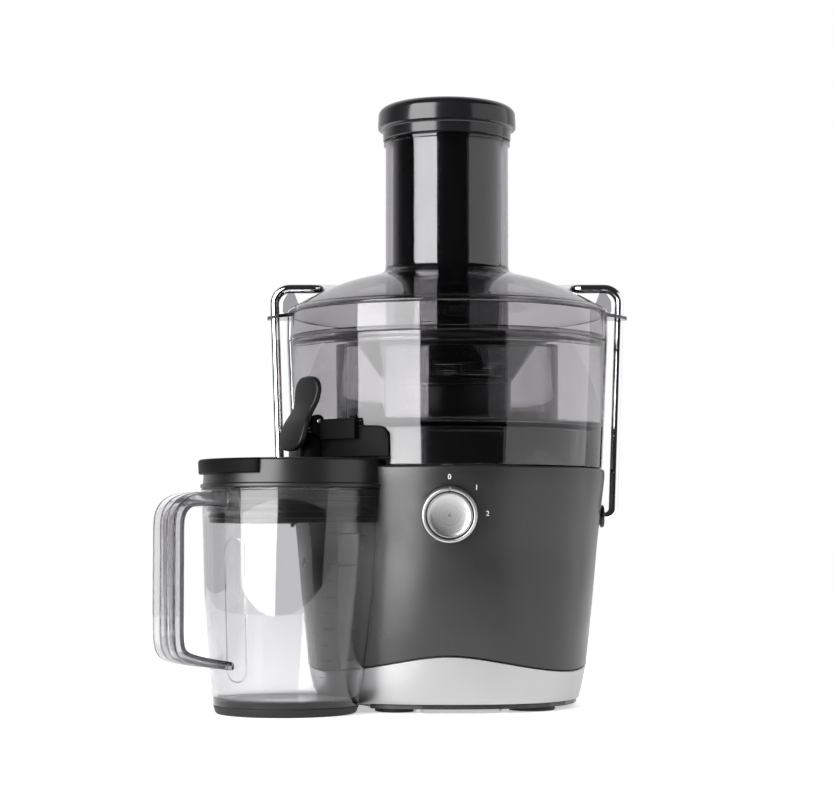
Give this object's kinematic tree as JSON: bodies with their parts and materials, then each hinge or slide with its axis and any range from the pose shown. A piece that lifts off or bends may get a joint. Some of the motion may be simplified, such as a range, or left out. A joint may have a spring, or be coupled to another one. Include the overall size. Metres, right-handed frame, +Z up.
{
  "type": "centrifugal juicer",
  "caption": "Centrifugal juicer: motor base, sieve, pulp basin, lid with feed chute, pusher, swing-over locking arm, speed knob, drip-stop spout and lidded juice jug.",
  "frame": {"origin": "centre of the bottom of the box round the whole juicer with its jug", "axes": "+Z up along the motor's axis, -Y the front with the knob, the jug stands towards -X and -Y"},
  "size_m": [0.298, 0.2402, 0.394],
  "materials": {
    "grey_plastic": "satin moulded, fine grain",
    "silver_plastic": "silver paint, satin",
    "black_satin": "satin black",
    "black_gloss": "polished black",
    "smoke_clear": "clear smoke grey, polished",
    "chrome_wire": "polished chrome",
    "stainless": "brushed stainless",
    "knob_metal": "brushed, circular",
    "rubber_black": "matte rubber",
    "motor_steel": "laminated and pressed steel",
    "copper": "copper winding and bars",
    "brush_brass": "brass holder",
    "board_green": "green circuit board"
  },
  "bodies": {
    "machine": {"base_housing": "grey_plastic", "base_skirt": "silver_plastic", "bottom_plate": "black_satin", "foot_front_left": "rubber_black", "foot_front_right": "rubber_black", "foot_rear_left": "rubber_black", "foot_rear_right": "rubber_black", "base_screw_1": "stainless", "base_screw_2": "stainless", "base_screw_3": "stainless", "base_screw_4": "stainless", "pivot_bush_left": "black_satin", "pivot_bush_right": "black_satin", "cord_gland": "rubber_black", "shaft_seal": "rubber_black", "motor_field": "motor_steel", "motor_frame_lower": "motor_steel", "motor_frame_upper": "motor_steel", "motor_bolt_front": "stainless", "motor_bolt_rear": "stainless", "brush_holder_left": "brush_brass", "brush_holder_right": "brush_brass", "bearing_lower": "stainless", "bearing_upper": "stainless", "motor_mount_1": "rubber_black", "motor_mount_2": "rubber_black", "motor_mount_3": "rubber_black", "motor_mount_4": "rubber_black", "control_board": "board_green", "rotary_switch": "black_satin", "interlock_switch": "black_satin", "juice_tray": "black_gloss", "spout_pin": "stainless", "pulp_basin": "smoke_clear", "bowl_seal": "rubber_black", "lid": "smoke_clear"},
    "rotor": {"motor_shaft": "stainless", "armature": "copper", "commutator": "copper", "cooling_fan": "black_satin", "drive_coupling": "black_satin", "sieve_hub": "black_satin", "grating_disc": "stainless", "sieve_cone": "stainless", "sieve_rim": "black_satin"},
    "knob": {"speed_knob": "knob_metal", "knob_insert": "knob_metal", "knob_shaft": "black_satin"},
    "arm": {"locking_arm": "chrome_wire"},
    "lever": {"drip_lever": "black_satin"},
    "pusher": {"pusher_body": "black_satin", "pusher_cap": "black_gloss"},
    "jug": {"jug": "smoke_clear", "jug_base_pad": "rubber_black", "jug_lid": "black_satin", "jug_lid_seal": "rubber_black", "froth_separator": "smoke_clear"}
  },
  "joints": [
    {"name": "drive_spin", "type": "hinge", "parent": "machine", "child": "rotor", "pos_m": [0.03054, 0.01491, 0.16], "axis": [0, 0, 1], "continuous": true},
    {"name": "knob_turn", "type": "hinge", "parent": "machine", "child": "knob", "pos_m": [0.03054, -0.08528, 0.1227], "axis": [0, 0.9928, 0.1196], "range_deg": [0, 90]},
    {"name": "arm_swing", "type": "hinge", "parent": "machine", "child": "arm", "pos_m": [0.03054, 0.01491, 0.122], "axis": [-1, 0, 0], "range_deg": [0, 100]},
    {"name": "lever_tilt", "type": "hinge", "parent": "machine", "child": "lever", "pos_m": [-0.0574, -0.04864, 0.1806], "axis": [0.5858, -0.8105, 0], "range_deg": [0, 15]},
    {"name": "pusher_lift", "type": "slide", "parent": "machine", "child": "pusher", "axis": [0, 0, 1], "range_m": [0, 0.155]},
    {"name": "jug_slide", "type": "slide", "parent": "machine", "child": "jug", "axis": [-0.8105, -0.5858, 0], "range_m": [0, 0.15]}
  ]
}
